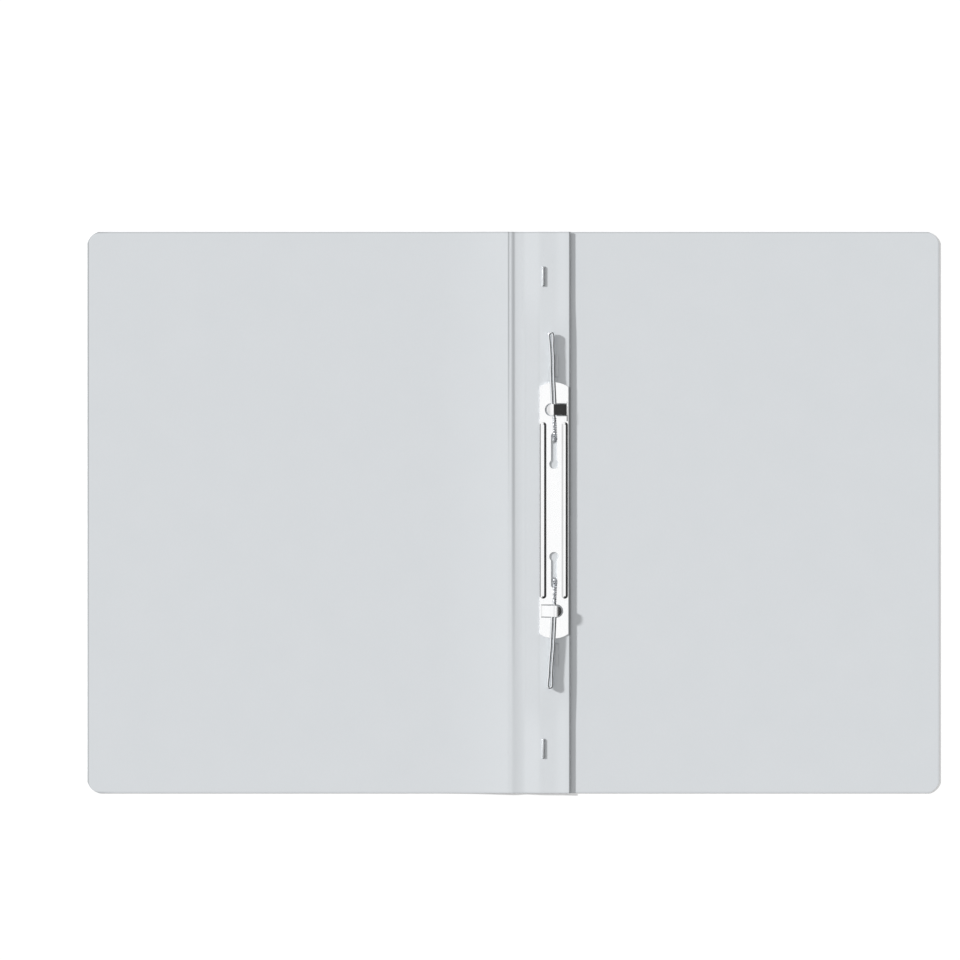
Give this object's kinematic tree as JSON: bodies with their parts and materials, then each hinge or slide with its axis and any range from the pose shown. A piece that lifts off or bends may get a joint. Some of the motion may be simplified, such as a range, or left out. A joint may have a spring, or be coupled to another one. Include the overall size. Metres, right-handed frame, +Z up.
{
  "type": "spring prong file folder",
  "caption": "Open A4 card folder with a filing strip, a metal cover rail with spring clips and sprung wire prongs for punched sheets.",
  "frame": {"origin": "centre of the open folder's footprint, on the surface it lies on", "axes": "+X from the front cover to the back cover, +Y along the fold towards the top edge, +Z up out of the open folder"},
  "size_m": [0.4826, 0.318, 0.0055],
  "materials": {
    "folder_card": "smooth pale grey card, matt",
    "nickel_plate": "bright nickel-plated sheet steel",
    "nickel_wire": "bright nickel-plated wire",
    "zinc_steel": "plain zinc-plated steel"
  },
  "bodies": {
    "back": {"back_cover": "folder_card", "filing_strip": "folder_card", "base_rail": "zinc_steel", "cover_rail": "nickel_plate", "top_stud": "zinc_steel", "bottom_stud": "zinc_steel", "top_staple": "zinc_steel", "bottom_staple": "zinc_steel"},
    "spine": {"spine": "folder_card"},
    "front": {"front_cover": "folder_card"},
    "top_arm": {"top_spring": "nickel_wire", "top_prong": "nickel_wire"},
    "bottom_arm": {"bottom_spring": "nickel_wire", "bottom_prong": "nickel_wire"}
  },
  "joints": [
    {"name": "spine_fold", "type": "hinge", "parent": "back", "child": "spine", "pos_m": [0.0012, 0, 0.0009], "axis": [0, 1, 0], "range_deg": [0, 89]},
    {"name": "cover_fold", "type": "hinge", "parent": "spine", "child": "front", "pos_m": [-0.0032, 0, 0.00045], "axis": [0, 1, 0], "range_deg": [0, 89]},
    {"name": "top_prong_swing", "type": "hinge", "parent": "back", "child": "top_arm", "pos_m": [0.023, 0.0412, 0.00375], "axis": [0, 0, 1], "range_deg": [0, 16]},
    {"name": "bottom_prong_swing", "type": "hinge", "parent": "back", "child": "bottom_arm", "pos_m": [0.023, -0.0388, 0.00375], "axis": [0, 0, 1], "range_deg": [0, 21]}
  ],
  "couplings": [
    {"joint": "cover_fold", "follows": "spine_fold", "ratio": 1}
  ]
}
